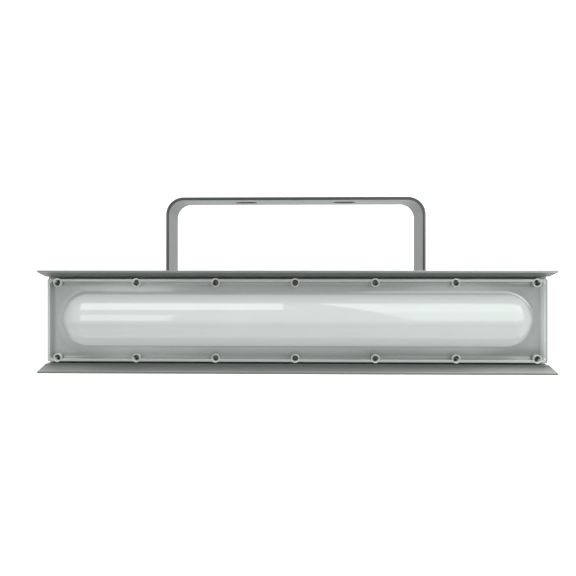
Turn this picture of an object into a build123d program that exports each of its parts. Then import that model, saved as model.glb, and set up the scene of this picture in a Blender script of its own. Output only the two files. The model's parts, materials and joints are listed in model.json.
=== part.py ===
import os
from math import cos, radians, tan

from build123d import *

# Sizes in millimetres. X runs along the lamp, the lens looks towards -Y and +Z is up.
# The origin is on the top face of the yoke, midway between its two slots.
# The lamp's own pieces are drawn round the tilt axis and dropped into place when they are written.

# Yoke: a flat bar bent into a U, with a tilt pivot at the foot of each leg
yoke_width = 341.0
yoke_bar_width = 50.0
yoke_bar_thickness = 4.0
yoke_bend_radius = 23.5
yoke_edge_round = 0.3
pivot_drop = 156.0
slot_spacing = 133.0
slot_length = 29.5
slot_width = 14.0

# Tilt pivot
pivot_thread = 10.0
pivot_running_gap = 0.08
pivot_grip = 15.0
pivot_boss_diameter = 32.0
pivot_boss_height = 1.5
pivot_boss_wall = 7.0
pivot_boss_floor = 3.0
friction_washer_diameter = 30.0
friction_washer_thickness = 2.0

# Lens cover: one milky moulding, a long dome on a flat border with a rim round its edge
dome_length = 565.5
dome_width = 64.5
dome_rise = 24.0
dome_foot_round = 4.0
lens_wall = 3.0
side_border = 17.25
end_border = 15.5
border_thickness = 4.0
lens_corner = 1.5
rim_height = 7.0
rim_width = 3.0
rim_cove = 4.5
rim_edge_round = 0.5

# Gasket in a pocket behind the border
lens_gasket_thickness = 3.0
pocket_reach = 8.25
pocket_gap = 0.3
pocket_corner = 5.0

# Lens screws, one row along each long edge, sunk in bosses that join the rim
lens_screw_thread = 4.0
lens_screw_columns = 7
lens_screw_edge = 4.2
lens_screw_end = 12.0
lens_screw_grip = 9.0
boss_wall = 1.6
bore_gap = 0.25
bore_sink = 3.5

# Housing: one extruded profile with two splayed visor wings and cooling fins
end_inset = 1.75
wing_reach = 20.5
wing_splay = 15.0
wing_wall = 2.4
wing_tip_round = 1.15
groove_gap = 1.7
rail_width = 18.0
chamber_depth = 16.0
web_thickness = 6.0
fin_depth = 21.5
fin_thickness = 2.0
fins_per_side = 5
spine_width = 22.0
leg_clearance = 2.0

# End caps, each with a tongue that closes the lamp chamber
cap_plate = 3.0
cap_edge_round = 0.8
cap_gasket_thickness = 1.0
cap_tongue = 22.0
cap_corner = 5.0
cap_overlap = 4.0
cap_screw_thread = 4.0
cap_screw_grip = 10.0
cap_screw_inset = 4.5
cap_screw_web_offset = 20.0
tongue_gap = 0.1

# Light source
board_split = 6.0
board_end_gap = 7.0
board_side_gap = 7.0
board_thickness = 1.6
pad_thickness = 0.5
chip_size = 3.5
chip_height = 0.9
chips_per_row = 16
chip_row_offset = 8.0
chip_end_margin = 8.0
chip_lead_margin = 28.0
board_screw_thread = 3.0
board_screw_grip = 4.0
board_screw_edge = 7.2
board_screw_margin = 9.0
board_screws_per_row = 3
reflector_wall = 0.8
reflector_flange = 11.0
reflector_gap = 0.3
connector_length = 8.0
connector_width = 12.0
connector_height = 4.0
connector_offset = 11.0

# Driver box on the spine of the housing
box_height = 80.0
box_depth = 53.0
box_wall = 5.0
box_corner = 8.0
box_edge_round = 1.5
box_seal_thickness = 1.0
box_seal_margin = 20.0
box_screw_thread = 6.0
box_screw_grip = 14.0
box_screw_first = 30.0
box_screw_terminal_gap = 11.0
box_screws_per_side = 2
column_diameter = 12.0
column_inset = 6.5
columns_per_side = 5

# Rear cover
cover_plate = 6.0
cover_gasket_thickness = 2.0
cover_gasket_width = 12.0
cover_screw_thread = 5.0
cover_screw_grip = 12.0
cover_pad_margin = 18.0
cover_pad_height = 2.0

# Electrical gear inside the box
post_height = 10.0
post_diameter = 9.0
driver_length = 160.0
driver_foot = 10.0
driver_foot_thickness = 3.0
driver_side_gap = 2.5
driver_lid_gap = 9.0
driver_end_gap = 20.0
driver_screw_thread = 4.0
driver_screw_grip = 7.0
terminal_length = 44.0
terminal_width = 22.0
terminal_height = 20.0
terminal_end_gap = 18.0
terminal_poles = 3
terminal_pitch = 7.0
terminal_entry = 4.5
terminal_clamp_depth = 11.0
terminal_screw_wall = 3.0
terminal_screw_thread = 3.0
terminal_screw_grip = 3.5
lead_diameter = 2.4
lead_bend = 5.0
lead_foot_gap = 0.6
dc_lead_spacing = 5.0
bush_diameter = 14.0
bush_bore = 9.0
bush_flange_diameter = 20.0
bush_flange_thickness = 2.0
bush_reach = 15.0
bush_gap = 0.1

# Cable gland in the lower wall of the box
gland_thread = 20.0
gland_hex = 24.0
gland_hex_height = 8.0
gland_neck_diameter = 18.0
gland_neck_length = 10.0
gland_bore = 13.0
gland_washer_thickness = 1.5
gland_locknut_hex = 26.0
gland_locknut_height = 4.0
gland_nut_wall = 3.0
gland_nut_length = 15.0
gland_nut_hex_length = 9.0
gland_cable_bore = 10.0
gland_seal_length = 11.0

# Earth point on the lower wall of the box
earth_thread = 6.0
earth_grip = 9.0
earth_boss_diameter = 14.0
earth_boss_depth = 8.0

# Clearances shared by the fasteners
thread_gap = 0.05
hole_gap = 0.3
tip_gap = 1.0
level_tolerance = 0.01

# Proportions of metric fasteners, as multiples of the thread diameter
socket_head_ratio = 1.5
socket_head_extra = 1.0
head_height_ratio = 1.0
head_round_ratio = 0.08
socket_ratio = 0.83
socket_depth_ratio = 0.55
hex_ratio = 1.6
hex_height_ratio = 0.64
hex_chamfer_ratio = 0.16
pan_diameter_ratio = 1.8
pan_height_ratio = 0.6
pan_round_ratio = 0.2
pan_recess_ratio = 0.5
spring_washer_ratio = 1.65
spring_washer_thickness_ratio = 0.26
flat_washer_ratio = 2.0
flat_washer_thickness_ratio = 0.18

# Depth stack along Y, from the driver box forward to the wing tips
spine_back = -yoke_bar_width / 2 - leg_clearance
box_front = spine_back + box_seal_thickness
box_floor = box_front + box_wall
box_back = box_front + box_depth
web_back = spine_back - fin_depth
web_front = web_back - web_thickness
seat = web_front - chamber_depth
border_back = seat - lens_gasket_thickness
lens_front = border_back - border_thickness
rim_plane = lens_front - rim_height
bore_floor = lens_front + bore_sink
wing_tip = rim_plane - wing_reach

# Heights and lengths that follow from the lens
lens_length = dome_length + 2 * end_border
lens_height = dome_width + 2 * side_border
housing_length = lens_length + 2 * end_inset
housing_end = housing_length / 2
channel_half = lens_height / 2 + groove_gap
wall_half = channel_half + wing_wall
rail_inner = channel_half - rail_width
chamber_end = housing_end - cap_tongue
pocket_length = dome_length + 2 * pocket_reach
pocket_height = dome_width + 2 * pocket_reach

# Places inside the driver box
leg_inner = yoke_width / 2 - yoke_bar_thickness
boss_face = leg_inner - friction_washer_thickness
box_end = boss_face - pivot_boss_height
box_inner_end = box_end - box_wall
box_half = box_height / 2
box_inner_half = box_half - box_wall
column_height = box_half - column_inset
column_end = box_end - column_inset - box_wall
post_top = box_floor + post_height
driver_half = column_height - column_diameter / 2 - driver_side_gap
driver_back = box_back - driver_lid_gap
driver_right = box_inner_end - driver_end_gap - driver_foot
driver_left = driver_right - driver_length
terminal_left = -box_inner_end + terminal_end_gap
terminal_right = terminal_left + terminal_length
entry_offset = column_end * (columns_per_side - 2) / (columns_per_side - 1)


def slab_x(outline, start, end):
    """Extrude an outline drawn in Y and Z along X."""
    return extrude(Plane((start, 0, 0), x_dir=(0, 1, 0), z_dir=(1, 0, 0)) * outline, amount=end - start)


def slab_y(outline, front, back):
    """Extrude an outline drawn in X and Z along Y."""
    return extrude(Plane((0, back, 0), x_dir=(1, 0, 0), z_dir=(0, -1, 0)) * outline, amount=back - front)


def slab_z(outline, low, high):
    """Extrude an outline drawn in X and Y along Z."""
    return extrude(Plane((0, 0, low)) * outline, amount=high - low)


def rod_x(y, z, radius, start, end):
    return slab_x(Pos(y, z) * Circle(radius), start, end)


def rod_y(x, z, radius, front, back):
    return slab_y(Pos(x, z) * Circle(radius), front, back)


def rod_z(x, y, radius, low, high):
    return slab_z(Pos(x, y) * Circle(radius), low, high)


def patch(left, right, low, high):
    """Rectangle between two pairs of limits."""
    return Pos((left + right) / 2, (low + high) / 2) * Rectangle(right - left, high - low)


def spread(first, last, count):
    """Evenly spaced places from first to last."""
    return [first + (last - first) * index / (count - 1) for index in range(count)]


def group(solids):
    """Several separate solids in one node."""
    return Compound(children=list(solids))


def hexagon(across):
    """Hexagon given by the distance across its flats."""
    return RegularPolygon(across / 2, 6, major_radius=False)


def socket_head(thread):
    """Diameter of a socket head for a thread."""
    return socket_head_ratio * thread + socket_head_extra


def socket_screw(thread, length):
    """Socket-head screw standing on its seat at Z = 0."""
    height = head_height_ratio * thread
    head = slab_z(Circle(socket_head(thread) / 2), 0, height)
    head = fillet(head.edges().sort_by(Axis.Z)[-1], head_round_ratio * thread)
    recess = hexagon(socket_ratio * thread)
    shank = slab_z(Circle(thread / 2), -length, 0)
    return head + shank - slab_z(recess, height * (1 - socket_depth_ratio), height)


def pan_screw(thread, length):
    """Low round-head screw standing on its seat at Z = 0."""
    height = pan_height_ratio * thread
    head = slab_z(Circle(pan_diameter_ratio * thread / 2), 0, height)
    head = fillet(head.edges().sort_by(Axis.Z)[-1], pan_round_ratio * thread)
    recess = hexagon(pan_recess_ratio * thread)
    shank = slab_z(Circle(thread / 2), -length, 0)
    return head + shank - slab_z(recess, height / 2, height)


def hex_bolt(thread, length):
    """Hexagon-head bolt standing on its seat at Z = 0."""
    height = hex_height_ratio * thread
    across = hex_ratio * thread
    head = slab_z(hexagon(across), 0, height)
    crown = slab_z(Circle(across / 2 / cos(radians(30))), 0, height)
    crown = chamfer(crown.edges().sort_by(Axis.Z)[-1], hex_chamfer_ratio * thread)
    return (head & crown) + slab_z(Circle(thread / 2), -length, 0)


def washer(outer, thread, thickness):
    """Flat ring lying on Z = 0."""
    return slab_z(Circle(outer / 2) - Circle(thread / 2 + hole_gap), 0, thickness)


def spring_washer_thickness(thread):
    return spring_washer_thickness_ratio * thread


def flat_washer_thickness(thread):
    return flat_washer_thickness_ratio * thread


def lens_screw_places():
    half = lens_length / 2 - lens_screw_end
    row = lens_height / 2 - lens_screw_edge
    return [(x, z) for z in (-row, row) for x in spread(-half, half, lens_screw_columns)]


def cap_screw_places():
    rail = rail_inner + cap_screw_inset
    rails = [((seat + web_front) / 2, side * rail) for side in (-1, 1)]
    web = [((web_front + web_back) / 2, side * cap_screw_web_offset) for side in (-1, 1)]
    return rails + web


def box_screw_last():
    """The outermost box screw stands just inside the terminal block."""
    return -terminal_right - box_screw_terminal_gap - socket_head(box_screw_thread) / 2


def box_screw_places():
    places = spread(box_screw_first, box_screw_last(), box_screws_per_side)
    return [side * x for side in (-1, 1) for x in places]


def column_places():
    return [(x, z) for z in (-column_height, column_height)
            for x in spread(-column_end, column_end, columns_per_side)]


def post_places():
    feet = (driver_left - driver_foot / 2, driver_right + driver_foot / 2)
    reach = driver_half - post_diameter
    return [(x, z) for x in feet for z in (-reach, reach)]


def terminal_screw_places():
    middle = (terminal_left + terminal_right) / 2
    reach = terminal_length / 2 - terminal_clamp_depth - terminal_screw_wall - terminal_screw_thread / 2
    return [middle - reach, middle + reach]


def board_span():
    return board_split / 2, chamber_end - board_end_gap


def board_screw_places():
    inner, outer = board_span()
    runs = spread(inner + board_screw_margin, outer - board_screw_margin, board_screws_per_row)
    row = rail_inner - board_side_gap - board_screw_edge
    return [(side * x, z) for side in (-1, 1) for x in runs for z in (-row, row)]


def yoke_bend(half, top, radius):
    """Front outline of a U with round shoulders, open below the pivots."""
    foot = -pivot_drop - yoke_bar_width
    outline = patch(-half, half, foot, top - radius) + patch(-half + radius, half - radius, foot, top)
    for side in (-1, 1):
        outline += Pos(side * (half - radius), top - radius) * Circle(radius)
    return outline


def yoke_bracket():
    half = yoke_width / 2
    outer = yoke_bend(half, 0, yoke_bend_radius)
    inner = yoke_bend(leg_inner, -yoke_bar_thickness, yoke_bend_radius - yoke_bar_thickness)
    side_view = patch(-yoke_bar_width / 2, yoke_bar_width / 2, -pivot_drop, 0)
    side_view += Pos(0, -pivot_drop) * Circle(yoke_bar_width / 2)
    bar = slab_y(outer - inner, -yoke_bar_width / 2, yoke_bar_width / 2) & slab_x(side_view, -half, half)

    def runs_across(edge):
        """True for the bend lines, which run straight across the bar."""
        size = edge.bounding_box().size
        return max(size.X, size.Z) < yoke_edge_round

    bar = fillet([e for e in bar.edges() if not runs_across(e)], yoke_edge_round)
    hole = pivot_thread / 2 + pivot_running_gap
    bar -= rod_x(0, -pivot_drop, hole, -yoke_width, yoke_width)
    slot = SlotOverall(slot_length, slot_width)
    for side in (-1, 1):
        bar -= slab_z(Pos(side * slot_spacing / 2, 0) * slot, -2 * yoke_bar_thickness, yoke_bar_thickness)
    return bar


def housing_half_profile():
    """Upper half of the extrusion's section, drawn in Y and Z."""
    splay = radians(wing_splay)
    rise = wing_reach * tan(splay)
    skin = wing_wall / cos(splay)
    wing = make_face(Polyline(
        (rim_plane, channel_half), (wing_tip, channel_half + rise),
        (wing_tip, channel_half + rise + skin), (rim_plane, channel_half + skin),
        (rim_plane + wing_wall, wall_half), (rim_plane + wing_wall, channel_half), close=True))
    tips = [v for v in wing.vertices() if abs(v.X - wing_tip) < wing_tip_round]
    profile = fillet(tips, wing_tip_round)
    profile += patch(rim_plane + wing_wall / 2, web_back, channel_half, wall_half)
    profile += patch(seat, web_front, rail_inner, wall_half)
    profile += patch(web_front, web_back, 0, wall_half)
    profile += patch(web_back, spine_back, 0, spine_width / 2)
    step = (wall_half - spine_width / 2) / fins_per_side
    for index in range(1, fins_per_side + 1):
        top = spine_width / 2 + step * index
        profile += patch(web_back, spine_back, top - fin_thickness, top)
    return profile


def housing_extrusion():
    half = housing_half_profile()
    body = slab_x(half + mirror(half, about=Plane.XZ), -housing_end, housing_end)
    for x, z in lens_screw_places():
        body -= rod_y(x, z, lens_screw_thread / 2 + thread_gap, seat, seat + lens_screw_grip + tip_gap)
    for side in (-1, 1):
        start, end = sorted((side * housing_end, side * (housing_end - cap_screw_grip - tip_gap)))
        for y, z in cap_screw_places():
            body -= rod_x(y, z, cap_screw_thread / 2 + thread_gap, start, end)
    for x, z in board_screw_places():
        depth = web_front + board_screw_grip + tip_gap
        body -= rod_y(x, z, board_screw_thread / 2 + thread_gap, web_front, depth)
    for x in box_screw_places():
        depth = spine_back - box_screw_grip - tip_gap
        body -= rod_y(x, 0, box_screw_thread / 2 + thread_gap, depth, spine_back)
    body -= rod_y(0, 0, bush_bore / 2, web_front, spine_back)
    body -= rod_y(0, 0, bush_diameter / 2 + bush_gap, spine_back - bush_reach - tip_gap, spine_back)
    return body


def dome(half_width, half_length, base, shoulder, apex):
    """Closed long dome: a straight run with a half-round end at each side."""
    rise = shoulder - apex
    radius = (half_width ** 2 + rise ** 2) / (2 * rise)
    middle = half_width / 2
    lift = (radius ** 2 - middle ** 2) ** 0.5 - (radius - rise)
    run = half_length - half_width

    def half_section(first, last):
        """Half of the section in the plane of two direction vectors."""
        def at(across, along):
            return Vector(*first) * across + Vector(*last) * along
        arc = ThreePointArc(at(half_width, shoulder), at(middle, shoulder - lift), at(0, apex))
        base_line = Line(at(0, base), at(half_width, base))
        return make_face([base_line, Line(at(half_width, base), at(half_width, shoulder)), arc,
                          Line(at(0, apex), at(0, base))])

    section = half_section((0, 0, 1), (0, 1, 0))
    straight = extrude(section, amount=run, dir=(1, 0, 0), both=True)
    straight += mirror(straight, about=Plane.XY)
    for side in (-1, 1):
        straight += Pos(side * run, 0, 0) * revolve(section, axis=Axis.Y, revolution_arc=180 * side)
    return straight


def lens_cover():
    """One moulding: dome, border, rim, screw bosses and a pocket for the gasket behind."""
    rim_length = lens_length - 2 * rim_width
    rim_opening = lens_height - 2 * rim_width

    def reach(edge):
        box = edge.bounding_box()
        return max(-box.min.X, box.max.X), max(-box.min.Z, box.max.Z)

    def on_level(shape, level):
        spans = [(e, e.bounding_box()) for e in shape.edges()]
        return [e for e, box in spans
                if max(abs(box.min.Y - level), abs(box.max.Y - level)) < level_tolerance]

    def at_foot(edge):
        along, across = reach(edge)
        return along < dome_length / 2 + level_tolerance and across < dome_width / 2 + level_tolerance

    def at_rim(edge):
        along, across = reach(edge)
        return along > rim_length / 2 - level_tolerance or across > rim_opening / 2 - level_tolerance

    outline = RectangleRounded(lens_length, lens_height, lens_corner)
    opening = RectangleRounded(rim_length, rim_opening, max(lens_corner - rim_width, rim_width))
    pocket = RectangleRounded(pocket_length + 2 * pocket_gap, pocket_height + 2 * pocket_gap, pocket_corner)
    apex = lens_front - dome_rise
    cover = slab_y(outline, lens_front, border_back) + slab_y(outline - pocket, border_back, seat)
    cover += dome(dome_width / 2, dome_length / 2, border_back, lens_front, apex)
    cover = fillet([e for e in on_level(cover, lens_front) if at_foot(e)], dome_foot_round)
    cover += slab_y(outline - opening, rim_plane, lens_front)
    cover = fillet([e for e in on_level(cover, lens_front) if at_rim(e)], rim_cove)
    cover = fillet(on_level(cover, rim_plane), rim_edge_round)
    bore = socket_head(lens_screw_thread) / 2 + bore_gap
    boss = rod_y(0, 0, bore + boss_wall, rim_plane, border_back)
    boss = fillet(on_level(boss, rim_plane), rim_edge_round)
    for x, z in lens_screw_places():
        cover += Pos(x, 0, z) * boss
    for x, z in lens_screw_places():
        cover -= rod_y(x, z, bore, rim_plane, bore_floor)
        cover -= rod_y(x, z, lens_screw_thread / 2 + hole_gap, bore_floor, seat)
    mouths = [e for e in on_level(cover, rim_plane) if e.geom_type == GeomType.CIRCLE]
    cover = fillet([e for e in mouths if abs(e.radius - bore) < level_tolerance], rim_edge_round)
    cover -= dome(dome_width / 2 - lens_wall, dome_length / 2 - lens_wall, border_back, lens_front,
                  apex + lens_wall)
    return cover


def lens_gasket():
    outline = RectangleRounded(pocket_length, pocket_height, pocket_corner - pocket_gap)
    return slab_y(outline - Rectangle(2 * chamber_end, 2 * rail_inner), border_back, seat)


def lens_spring_washers():
    outer = spring_washer_ratio * lens_screw_thread
    ring = Rot(90, 0, 0) * washer(outer, lens_screw_thread, spring_washer_thickness(lens_screw_thread))
    return group(Pos(x, bore_floor, z) * ring for x, z in lens_screw_places())


def lens_screws():
    under = bore_floor - spring_washer_thickness(lens_screw_thread)
    screw = Rot(90, 0, 0) * socket_screw(lens_screw_thread, seat - under + lens_screw_grip)
    return group(Pos(x, under, z) * screw for x, z in lens_screw_places())


def cap_outline():
    back = web_back + cap_overlap
    return Pos((seat + back) / 2, 0) * RectangleRounded(back - seat, 2 * wall_half, cap_corner)


def end_cap(side):
    face = housing_end + cap_gasket_thickness
    cap = slab_x(cap_outline(), face, face + cap_plate)
    cap = fillet(cap.faces().sort_by(Axis.X)[-1].edges(), cap_edge_round)
    tongue = patch(seat, web_front - tongue_gap, -rail_inner + tongue_gap, rail_inner - tongue_gap)
    cap += slab_x(tongue, chamber_end, face)
    for y, z in cap_screw_places():
        cap -= rod_x(y, z, cap_screw_thread / 2 + hole_gap, face, face + cap_plate)
    return cap if side > 0 else mirror(cap, about=Plane.YZ)


def end_cap_gaskets():
    tongue = patch(seat - tongue_gap, web_front, -rail_inner, rail_inner)
    sheet = slab_x(cap_outline() - tongue, housing_end, housing_end + cap_gasket_thickness)
    hole = cap_screw_thread / 2 + hole_gap
    for y, z in cap_screw_places():
        sheet -= rod_x(y, z, hole, housing_end, housing_end + cap_gasket_thickness)
    return group([sheet, mirror(sheet, about=Plane.YZ)])


def end_cap_screws():
    stack = cap_gasket_thickness + cap_plate
    screw = Rot(0, 90, 0) * pan_screw(cap_screw_thread, stack + cap_screw_grip)
    right = [Pos(housing_end + stack, y, z) * screw for y, z in cap_screw_places()]
    return group(right + [mirror(one, about=Plane.YZ) for one in right])


def board_outline(side):
    inner, outer = board_span()
    half = rail_inner - board_side_gap
    return patch(*sorted((side * inner, side * outer)), -half, half)


def board_layer(front, back):
    """One flat layer under each half of the light source, pierced for the board screws."""
    layers = []
    for side in (-1, 1):
        layer = slab_y(board_outline(side), front, back)
        for x, z in board_screw_places():
            if x * side > 0:
                layer -= rod_y(x, z, board_screw_thread / 2 + hole_gap, front, back)
        layers.append(layer)
    return group(layers)


pad_front = web_front - pad_thickness
board_front = pad_front - board_thickness


def thermal_pads():
    return board_layer(pad_front, web_front)


def led_boards():
    return board_layer(board_front, pad_front)


def led_chips():
    inner, outer = board_span()
    runs = spread(inner + chip_lead_margin, outer - chip_end_margin, chips_per_row)
    half = chip_size / 2
    chip = slab_y(patch(-half, half, -half, half), board_front - chip_height, board_front)
    return group(Pos(side * x, 0, z) * chip for side in (-1, 1) for x in runs
                 for z in (-chip_row_offset, chip_row_offset))


def reflector_tray():
    """White funnel from the boards up to the seat of the lens."""
    half_height = rail_inner - reflector_gap
    half_length = chamber_end - reflector_gap
    foot_height = rail_inner - board_side_gap
    foot_length = board_span()[1]
    level = board_front - reflector_wall

    def funnel(shrink):
        low = Plane((0, level, 0), x_dir=(1, 0, 0), z_dir=(0, -1, 0))
        high = Plane((0, seat, 0), x_dir=(1, 0, 0), z_dir=(0, -1, 0))
        return loft([low * Rectangle(2 * (foot_length - shrink), 2 * (foot_height - shrink)),
                     high * Rectangle(2 * (half_length - shrink), 2 * (half_height - shrink))])

    tray = funnel(0) - funnel(reflector_wall)
    opening = Rectangle(2 * (foot_length - reflector_wall), 2 * (foot_height - reflector_flange))
    tray += slab_y(Rectangle(2 * foot_length, 2 * foot_height) - opening, level, board_front)
    for x, z in board_screw_places():
        tray -= rod_y(x, z, board_screw_thread / 2 + hole_gap, level, board_front)
    return tray


def board_screws():
    under = board_front - reflector_wall
    screw = Rot(90, 0, 0) * pan_screw(board_screw_thread, web_front - under + board_screw_grip)
    return group(Pos(x, under, z) * screw for x, z in board_screw_places())


def board_connectors():
    half = connector_width / 2
    plug = patch(connector_offset, connector_offset + connector_length, -half, half)
    right = slab_y(plug, board_front - connector_height, board_front)
    return group([right, mirror(right, about=Plane.YZ)])


def box_outline():
    return RectangleRounded(2 * box_end, box_height, box_corner)


def driver_box():
    box = slab_y(box_outline(), box_front, box_back)
    box = fillet(box.faces().sort_by(Axis.Y)[0].edges(), box_edge_round)
    cavity = RectangleRounded(2 * box_inner_end, 2 * box_inner_half, box_corner - box_wall)
    box -= slab_y(cavity, box_floor, box_back)
    shell = slab_y(box_outline(), box_front + box_edge_round, box_back)
    for x, z in column_places():
        box += rod_y(x, z, column_diameter / 2, box_floor, box_back) & shell
    for x, z in post_places():
        box += rod_y(x, z, post_diameter / 2, box_floor, post_top)
    boss = pivot_thread / 2 + pivot_boss_wall
    for side in (-1, 1):
        start, end = sorted((side * box_end, side * boss_face))
        box += rod_x(0, 0, pivot_boss_diameter / 2, start, end)
        deep = side * (boss_face - pivot_grip - pivot_boss_floor)
        start, end = sorted((side * box_inner_end, deep))
        box += rod_x(0, 0, boss, start, end)
        start, end = sorted((side * boss_face, side * (boss_face - pivot_grip - tip_gap)))
        box -= rod_x(0, 0, pivot_thread / 2 + thread_gap, start, end)
    middle = (box_front + box_back) / 2
    earth_floor = -box_inner_half + earth_boss_depth
    box += rod_z(entry_offset, middle, earth_boss_diameter / 2, -box_inner_half, earth_floor)
    earth_top = -box_half + earth_grip + tip_gap
    box -= rod_z(entry_offset, middle, earth_thread / 2 + thread_gap, -box_half, earth_top)
    box -= rod_z(-entry_offset, middle, gland_thread / 2 + thread_gap, -box_half, -box_inner_half)
    for x, z in column_places():
        depth = box_back - cover_screw_grip - tip_gap
        box -= rod_y(x, z, cover_screw_thread / 2 + thread_gap, depth, box_back)
    for x, z in post_places():
        depth = post_top - driver_screw_grip - tip_gap
        box -= rod_y(x, z, driver_screw_thread / 2 + thread_gap, depth, post_top)
    for x in terminal_screw_places():
        depth = box_floor - terminal_screw_grip
        box -= rod_y(x, 0, terminal_screw_thread / 2 + thread_gap, depth, box_floor)
    for x in box_screw_places():
        box -= rod_y(x, 0, box_screw_thread / 2 + hole_gap, box_front, box_floor)
    box -= rod_y(0, 0, bush_diameter / 2 + bush_gap, box_front, box_floor)
    return box


def box_seal():
    length = 2 * (box_screw_last() + box_seal_margin)
    seal = slab_y(Rectangle(length, spine_width), spine_back, box_front)
    for x in box_screw_places():
        seal -= rod_y(x, 0, box_screw_thread / 2 + hole_gap, spine_back, box_front)
    return seal - rod_y(0, 0, bush_diameter / 2 + bush_gap, spine_back, box_front)


def box_mount_screws():
    length = box_floor - spine_back + box_screw_grip
    screw = Rot(-90, 0, 0) * socket_screw(box_screw_thread, length)
    return group(Pos(x, box_floor, 0) * screw for x in box_screw_places())


def rear_cover_gasket():
    hole = Rectangle(2 * (box_end - cover_gasket_width), box_height - 2 * cover_gasket_width)
    ring = slab_y(box_outline() - hole, box_back, box_back + cover_gasket_thickness)
    for x, z in column_places():
        ring -= rod_y(x, z, cover_screw_thread / 2 + hole_gap, box_back, box_back + cover_gasket_thickness)
    return ring


def rear_cover():
    front = box_back + cover_gasket_thickness
    back = front + cover_plate
    plate = slab_y(box_outline(), front, back)
    plate = fillet(plate.faces().sort_by(Axis.Y)[-1].edges(), box_edge_round)
    pad_length = 2 * (box_end - cover_pad_margin)
    pad = RectangleRounded(pad_length, box_height - 2 * cover_pad_margin, box_corner)
    plate += slab_y(pad, back, back + cover_pad_height)
    plate = fillet(plate.faces().sort_by(Axis.Y)[-1].edges(), cover_pad_height / 2)
    for x, z in column_places():
        plate -= rod_y(x, z, cover_screw_thread / 2 + hole_gap, front, back)
    return plate


def rear_cover_screws():
    under = box_back + cover_gasket_thickness + cover_plate
    screw = Rot(-90, 0, 0) * socket_screw(cover_screw_thread, under - box_back + cover_screw_grip)
    return group(Pos(x, under, z) * screw for x, z in column_places())


def led_driver():
    case = slab_y(patch(driver_left, driver_right, -driver_half, driver_half), post_top, driver_back)
    case = fillet(case.edges().filter_by(Axis.X), box_edge_round)
    foot = patch(driver_left - driver_foot, driver_right + driver_foot, -driver_half, driver_half)
    case += slab_y(foot, post_top, post_top + driver_foot_thickness)
    hole = driver_screw_thread / 2 + hole_gap
    for x, z in post_places():
        case -= rod_y(x, z, hole, post_top, post_top + driver_foot_thickness)
    return case


def driver_screws():
    under = post_top + driver_foot_thickness
    screw = Rot(-90, 0, 0) * pan_screw(driver_screw_thread, driver_foot_thickness + driver_screw_grip)
    return group(Pos(x, under, z) * screw for x, z in post_places())


def lead_levels():
    """Heights of the mains leads and of the clamps that hold them."""
    reach = terminal_pitch * (terminal_poles - 1) / 2
    return spread(-reach, reach, terminal_poles)


# The mains leads pass just over the driver's foot
lead_line = post_top + driver_foot_thickness + lead_foot_gap + lead_diameter / 2


def terminal_block():
    half = terminal_width / 2
    top = box_floor + terminal_height
    block = slab_y(patch(terminal_left, terminal_right, -half, half), box_floor, top)
    for z in lead_levels():
        for start in (terminal_left, terminal_right - terminal_clamp_depth):
            block -= rod_x(lead_line, z, terminal_entry / 2, start, start + terminal_clamp_depth)
    for x in terminal_screw_places():
        block -= rod_y(x, 0, terminal_screw_thread / 2 + hole_gap, box_floor, top)
    return block


def terminal_screws():
    top = box_floor + terminal_height
    length = terminal_height + terminal_screw_grip - tip_gap
    screw = Rot(-90, 0, 0) * pan_screw(terminal_screw_thread, length)
    return group(Pos(x, top, 0) * screw for x in terminal_screw_places())


def mains_leads():
    start = terminal_right - terminal_clamp_depth
    return group(rod_x(lead_line, z, lead_diameter / 2, start, driver_left) for z in lead_levels())


def dc_leads():
    level = board_front - connector_height / 2
    leads = []
    for side in (-1, 1):
        z = side * dc_lead_spacing / 2
        path = FilletPolyline((0, post_top, z), (0, level, z), (side * connector_offset, level, z),
                              radius=lead_bend)
        mouth = Plane((0, post_top, z), x_dir=(1, 0, 0), z_dir=(0, -1, 0)) * Circle(lead_diameter / 2)
        leads.append(sweep(mouth, path=path))
    return group(leads)


def lead_bush():
    bush = rod_y(0, 0, bush_diameter / 2, spine_back - bush_reach, box_floor)
    bush += rod_y(0, 0, bush_flange_diameter / 2, box_floor, box_floor + bush_flange_thickness)
    return bush - rod_y(0, 0, bush_bore / 2, spine_back - bush_reach, box_floor + bush_flange_thickness)


# Levels of the gland below the tilt axis
gland_seat = -box_half - gland_washer_thickness
gland_shoulder = gland_seat - gland_hex_height
gland_mouth = gland_shoulder - gland_neck_length
gland_inner_end = -box_inner_half + gland_locknut_height + tip_gap
gland_nut_top = gland_shoulder - tip_gap
gland_nut_end = gland_nut_top - gland_nut_length


def gland_place():
    return Pos(-entry_offset, (box_front + box_back) / 2, 0)


def gland_washer():
    ring = Circle(gland_hex / 2) - Circle(gland_thread / 2 + thread_gap)
    return gland_place() * slab_z(ring, gland_seat, -box_half)


def gland_body():
    body = slab_z(hexagon(gland_hex), gland_shoulder, gland_seat)
    body += slab_z(Circle(gland_thread / 2), gland_seat, gland_inner_end)
    body += slab_z(Circle(gland_neck_diameter / 2), gland_mouth, gland_shoulder)
    return gland_place() * (body - slab_z(Circle(gland_bore / 2), gland_mouth, gland_inner_end))


def gland_locknut():
    ring = hexagon(gland_locknut_hex) - Circle(gland_thread / 2 + thread_gap)
    return gland_place() * slab_z(ring, -box_inner_half, -box_inner_half + gland_locknut_height)


def gland_nut():
    outer = gland_neck_diameter + 2 * gland_nut_wall
    skirt = slab_z(hexagon(outer), gland_nut_top - gland_nut_hex_length, gland_nut_top)
    nose = slab_z(Circle(outer / 2), gland_nut_end, gland_nut_top - gland_nut_hex_length)
    nose = fillet(nose.edges().sort_by(Axis.Z)[0], gland_nut_wall)
    nut = skirt + nose
    nut -= slab_z(Circle(gland_neck_diameter / 2 + thread_gap), gland_mouth - tip_gap, gland_nut_top)
    return gland_place() * (nut - slab_z(Circle(gland_cable_bore / 2), gland_nut_end, gland_nut_top))


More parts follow.
